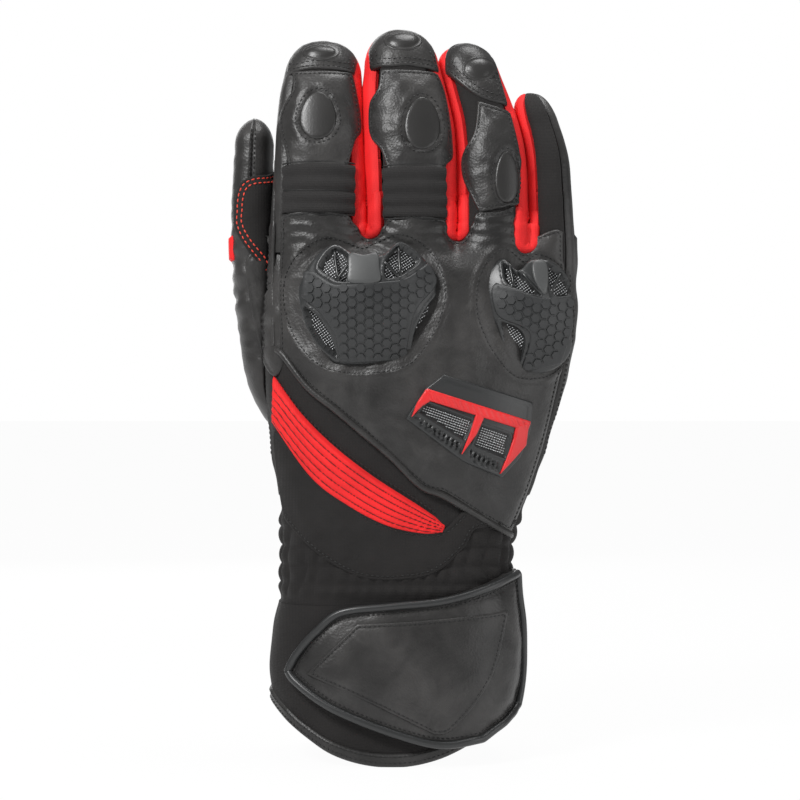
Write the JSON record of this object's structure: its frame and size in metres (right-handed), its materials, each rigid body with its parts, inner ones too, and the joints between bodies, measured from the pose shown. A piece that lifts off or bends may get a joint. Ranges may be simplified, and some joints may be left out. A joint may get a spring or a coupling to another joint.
{
  "type": "ski glove",
  "caption": "Right-hand winter sports glove with jointed fingers and thumb, bending wrist, hard knuckle guards, moulded vent and a hook-and-loop closing flap.",
  "frame": {"origin": "middle of the way in at the cuff, level with the lowest point of the hem", "axes": "+Z along the fingers, +X from the thumb towards the little finger, +Y out of the palm; the back of the hand faces -Y"},
  "size_m": [0.139, 0.0707, 0.2892],
  "materials": {
    "black_leather": "soft satin full grain",
    "palm_leather": "matt suede side out",
    "red_fabric": "matt stretch fabric",
    "softshell": "matt woven softshell",
    "stretch": "matt ribbed stretch",
    "guard": "gloss rims and matt textured plates",
    "rubber_trim": "satin rubber",
    "red_rubber": "matt rubber",
    "mesh": "silver coated woven mesh",
    "fleece": "brushed fleece",
    "hook_and_loop": "hook and loop tape"
  },
  "bodies": {
    "cuff": {"cuff_shell": "softshell", "gathered_wrist": "stretch", "hem_binding": "rubber_trim", "cuff_lining": "fleece", "loop_tape": "hook_and_loop"},
    "hand": {"back_leather": "black_leather", "palm_leather": "palm_leather", "wrist_softshell": "softshell", "finger_crotches": "red_fabric", "hand_lining": "fleece", "diagonal_piping": "rubber_trim", "red_rib_panel": "red_fabric", "large_knuckle_guard": "guard", "small_knuckle_guard": "guard", "silver_mesh": "mesh", "vent_base": "rubber_trim", "vent_frame": "red_rubber", "palm_patch": "palm_leather", "palm_heel_pad": "palm_leather", "thumb_root": "softshell"},
    "flap": {"flap_leather": "black_leather", "flap_piping": "rubber_trim", "flap_panel": "black_leather", "hook_tape": "hook_and_loop"},
    "thumb_base": {"thumb_base_outer": "softshell", "thumb_base_inner": "softshell"},
    "thumb_tip": {"thumb_tip_outer": "softshell", "thumb_tip_inner": "softshell"},
    "index_base": {"index_base_back": "black_leather", "index_base_sides": "red_fabric", "index_base_palm": "palm_leather", "index_stretch_ribs": "stretch"},
    "index_tip": {"index_tip_back": "black_leather", "index_tip_sides": "red_fabric", "index_tip_palm": "palm_leather", "index_knuckle_pad": "black_leather", "index_tip_pad": "black_leather"},
    "middle_base": {"middle_base_back": "black_leather", "middle_base_sides": "red_fabric", "middle_base_palm": "palm_leather", "middle_stretch_ribs": "stretch"},
    "middle_tip": {"middle_tip_back": "black_leather", "middle_tip_sides": "red_fabric", "middle_tip_palm": "palm_leather", "middle_knuckle_pad": "black_leather", "middle_tip_pad": "black_leather"},
    "ring_base": {"ring_base_back": "black_leather", "ring_base_sides": "red_fabric", "ring_base_palm": "palm_leather", "ring_knuckle_pad": "black_leather"},
    "ring_tip": {"ring_tip_back": "black_leather", "ring_tip_sides": "red_fabric", "ring_tip_palm": "palm_leather", "ring_tip_pad": "black_leather"},
    "little_base": {"little_base_back": "black_leather", "little_base_sides": "red_fabric", "little_base_palm": "palm_leather"},
    "little_tip": {"little_tip_back": "black_leather", "little_tip_sides": "red_fabric", "little_tip_palm": "palm_leather"}
  },
  "joints": [
    {"name": "wrist_bend", "type": "hinge", "parent": "cuff", "child": "hand", "pos_m": [0, 0, 0.086], "axis": [-1, 0, 0], "range_deg": [-20, 25]},
    {"name": "flap_open", "type": "hinge", "parent": "cuff", "child": "flap", "pos_m": [0.051, -0.002, 0.04], "axis": [0, 0, 1], "range_deg": [0, 105]},
    {"name": "thumb_swing", "type": "hinge", "parent": "hand", "child": "thumb_base", "pos_m": [-0.0546, 0.0146, 0.18], "axis": [0, -1, 0], "range_deg": [0, 30]},
    {"name": "thumb_flex", "type": "hinge", "parent": "thumb_base", "child": "thumb_tip", "pos_m": [-0.0566, 0.0156, 0.223], "axis": [-1, 0, 0], "range_deg": [0, 45]},
    {"name": "index_knuckle", "type": "hinge", "parent": "hand", "child": "index_base", "pos_m": [-0.0286, -0.0006, 0.221], "axis": [-1, 0, 0], "range_deg": [0, 65]},
    {"name": "index_tip_flex", "type": "hinge", "parent": "index_base", "child": "index_tip", "pos_m": [-0.0287, 0.005, 0.253], "axis": [-1, 0, 0], "range_deg": [0, 50]},
    {"name": "middle_knuckle", "type": "hinge", "parent": "hand", "child": "middle_base", "pos_m": [0.0077, -0.0015, 0.219], "axis": [-1, 0, 0], "range_deg": [0, 65]},
    {"name": "middle_tip_flex", "type": "hinge", "parent": "middle_base", "child": "middle_tip", "pos_m": [0.0063, 0.0038, 0.2495], "axis": [-1, 0, 0], "range_deg": [0, 50]},
    {"name": "ring_knuckle", "type": "hinge", "parent": "hand", "child": "ring_base", "pos_m": [0.0396, 0.0014, 0.204], "axis": [-1, 0, 0], "range_deg": [0, 65]},
    {"name": "ring_tip_flex", "type": "hinge", "parent": "ring_base", "child": "ring_tip", "pos_m": [0.039, 0.005, 0.2385], "axis": [-1, 0, 0], "range_deg": [0, 50]},
    {"name": "little_knuckle", "type": "hinge", "parent": "hand", "child": "little_base", "pos_m": [0.0633, 0.0055, 0.203], "axis": [-1, 0, 0], "range_deg": [0, 65]},
    {"name": "little_tip_flex", "type": "hinge", "parent": "little_base", "child": "little_tip", "pos_m": [0.062, 0.009, 0.236], "axis": [-1, 0, 0], "range_deg": [0, 50]}
  ]
}
